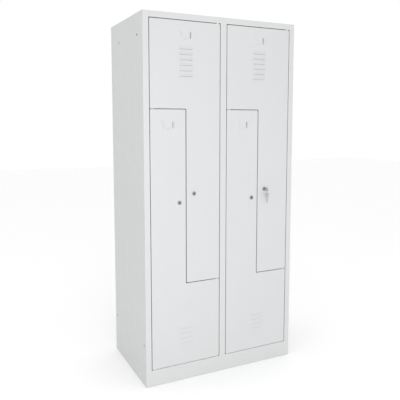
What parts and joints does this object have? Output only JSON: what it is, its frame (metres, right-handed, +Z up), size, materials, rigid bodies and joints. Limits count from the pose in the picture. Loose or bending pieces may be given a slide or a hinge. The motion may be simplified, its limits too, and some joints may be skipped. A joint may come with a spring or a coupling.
{
  "type": "z locker",
  "caption": "Two-column steel Z locker: interlocking stepped doors on pivot hinges, cam locks, louvres, coat rails with sliding hooks.",
  "frame": {"origin": "on the floor, midway between the sides and between the front and back faces of the carcass", "axes": "+X to the right seen from the front, +Y from the front to the back, +Z up"},
  "size_m": [0.84, 0.5374, 1.8],
  "materials": {
    "carcass_paint": "light grey powder coat, semi-gloss",
    "door_paint": "light grey powder coat, semi-gloss",
    "inner_paint": "light grey powder coat, satin",
    "pin_steel": "zinc plated",
    "lock_zinc": "dark satin zinc",
    "plug_steel": "satin",
    "cam_steel": "zinc plated",
    "key_nickel": "nickel plated, worn",
    "ring_steel": "nickel plated wire",
    "rail_steel": "bright zinc plated",
    "hook_plastic": "fine grain",
    "cup_plastic": "fine grain",
    "bush_plastic": "smooth",
    "buffer_rubber": "soft matt"
  },
  "bodies": {
    "carcass": {"back_panel": "inner_paint", "centre_base_runner": "inner_paint", "centre_partition": "inner_paint", "centre_post": "carcass_paint", "coat_rail_lower_left": "rail_steel", "coat_rail_lower_right": "rail_steel", "coat_rail_upper_left": "rail_steel", "coat_rail_upper_right": "rail_steel", "divider_left": "inner_paint", "divider_right": "inner_paint", "door_buffers": "buffer_rubber", "floor_panel": "inner_paint", "front_base_rail": "carcass_paint", "hinge_brackets": "inner_paint", "hinge_bushes": "bush_plastic", "lower_shelf_left": "inner_paint", "lower_shelf_right": "inner_paint", "rail_cups": "cup_plastic", "rear_base_rail": "inner_paint", "side_panel_left": "carcass_paint", "side_panel_right": "carcass_paint", "top_panel": "carcass_paint", "upper_shelf_left": "inner_paint", "upper_shelf_right": "inner_paint"},
    "door_upper_left": {"door_skin_upper_left": "door_paint", "door_stiffener_upper_left": "door_paint", "hinge_pins_upper_left": "pin_steel", "lock_housing_upper_left": "lock_zinc", "lock_nut_upper_left": "lock_zinc"},
    "lock_upper_left": {"lock_plug_upper_left": "plug_steel", "lock_cam_upper_left": "cam_steel"},
    "door_lower_left": {"door_skin_lower_left": "door_paint", "door_stiffener_lower_left": "door_paint", "hinge_pins_lower_left": "pin_steel", "lock_housing_lower_left": "lock_zinc", "lock_nut_lower_left": "lock_zinc"},
    "lock_lower_left": {"lock_plug_lower_left": "plug_steel", "lock_cam_lower_left": "cam_steel"},
    "door_upper_right": {"door_skin_upper_right": "door_paint", "door_stiffener_upper_right": "door_paint", "hinge_pins_upper_right": "pin_steel", "lock_housing_upper_right": "lock_zinc", "lock_nut_upper_right": "lock_zinc"},
    "lock_upper_right": {"lock_plug_upper_right": "plug_steel", "lock_cam_upper_right": "cam_steel"},
    "door_lower_right": {"door_skin_lower_right": "door_paint", "door_stiffener_lower_right": "door_paint", "hinge_pins_lower_right": "pin_steel", "lock_housing_lower_right": "lock_zinc", "lock_nut_lower_right": "lock_zinc"},
    "lock_lower_right": {"lock_plug_lower_right": "plug_steel", "lock_cam_lower_right": "cam_steel"},
    "hook_upper_left": {"coat_hook_upper_left": "hook_plastic"},
    "hook_lower_left": {"coat_hook_lower_left": "hook_plastic"},
    "hook_upper_right": {"coat_hook_upper_right": "hook_plastic"},
    "hook_lower_right": {"coat_hook_lower_right": "hook_plastic"},
    "key": {"key": "key_nickel"},
    "key_ring": {"key_ring": "ring_steel"},
    "spare_key": {"spare_key": "key_nickel"}
  },
  "joints": [
    {"name": "door_upper_left_hinge", "type": "hinge", "parent": "carcass", "child": "door_upper_left", "pos_m": [-0.032, -0.243, 1.1345], "axis": [0, 0, 1], "range_deg": [0, 95]},
    {"name": "door_lower_left_hinge", "type": "hinge", "parent": "carcass", "child": "door_lower_left", "pos_m": [-0.376, -0.243, 0.7185], "axis": [0, 0, 1], "range_deg": [-95, 0]},
    {"name": "door_upper_right_hinge", "type": "hinge", "parent": "carcass", "child": "door_upper_right", "pos_m": [0.376, -0.243, 1.1345], "axis": [0, 0, 1], "range_deg": [0, 95]},
    {"name": "door_lower_right_hinge", "type": "hinge", "parent": "carcass", "child": "door_lower_right", "pos_m": [0.032, -0.243, 0.7185], "axis": [0, 0, 1], "range_deg": [-95, 0]},
    {"name": "lock_upper_left_turn", "type": "hinge", "parent": "door_upper_left", "child": "lock_upper_left", "pos_m": [-0.162, -0.25, 0.944], "axis": [0, 1, 0], "range_deg": [0, 90]},
    {"name": "lock_lower_left_turn", "type": "hinge", "parent": "door_lower_left", "child": "lock_lower_left", "pos_m": [-0.24, -0.25, 0.903], "axis": [0, 1, 0], "range_deg": [-90, 0]},
    {"name": "lock_upper_right_turn", "type": "hinge", "parent": "door_upper_right", "child": "lock_upper_right", "pos_m": [0.246, -0.25, 0.944], "axis": [0, 1, 0], "range_deg": [0, 90]},
    {"name": "lock_lower_right_turn", "type": "hinge", "parent": "door_lower_right", "child": "lock_lower_right", "pos_m": [0.168, -0.25, 0.903], "axis": [0, 1, 0], "range_deg": [-90, 0]},
    {"name": "hook_upper_left_slide", "type": "slide", "parent": "carcass", "child": "hook_upper_left", "axis": [1, 0, 0], "range_m": [-0.189, 0.189]},
    {"name": "hook_lower_left_slide", "type": "slide", "parent": "carcass", "child": "hook_lower_left", "axis": [1, 0, 0], "range_m": [-0.087, 0.087]},
    {"name": "hook_upper_right_slide", "type": "slide", "parent": "carcass", "child": "hook_upper_right", "axis": [1, 0, 0], "range_m": [-0.189, 0.189]},
    {"name": "hook_lower_right_slide", "type": "slide", "parent": "carcass", "child": "hook_lower_right", "axis": [1, 0, 0], "range_m": [-0.081, 0.081]},
    {"name": "key_pull", "type": "slide", "parent": "lock_upper_right", "child": "key", "axis": [0, -1, 0], "range_m": [0, 0.02]},
    {"name": "key_ring_swing", "type": "hinge", "parent": "key", "child": "key_ring", "pos_m": [0.246, -0.2795, 0.9419], "axis": [0.7071, -0.7071, 0], "range_deg": [-50, 12]},
    {"name": "spare_key_swing", "type": "hinge", "parent": "key_ring", "child": "spare_key", "pos_m": [0.246, -0.2795, 0.9219], "axis": [0.7071, -0.7071, 0], "range_deg": [-30, 12]}
  ]
}
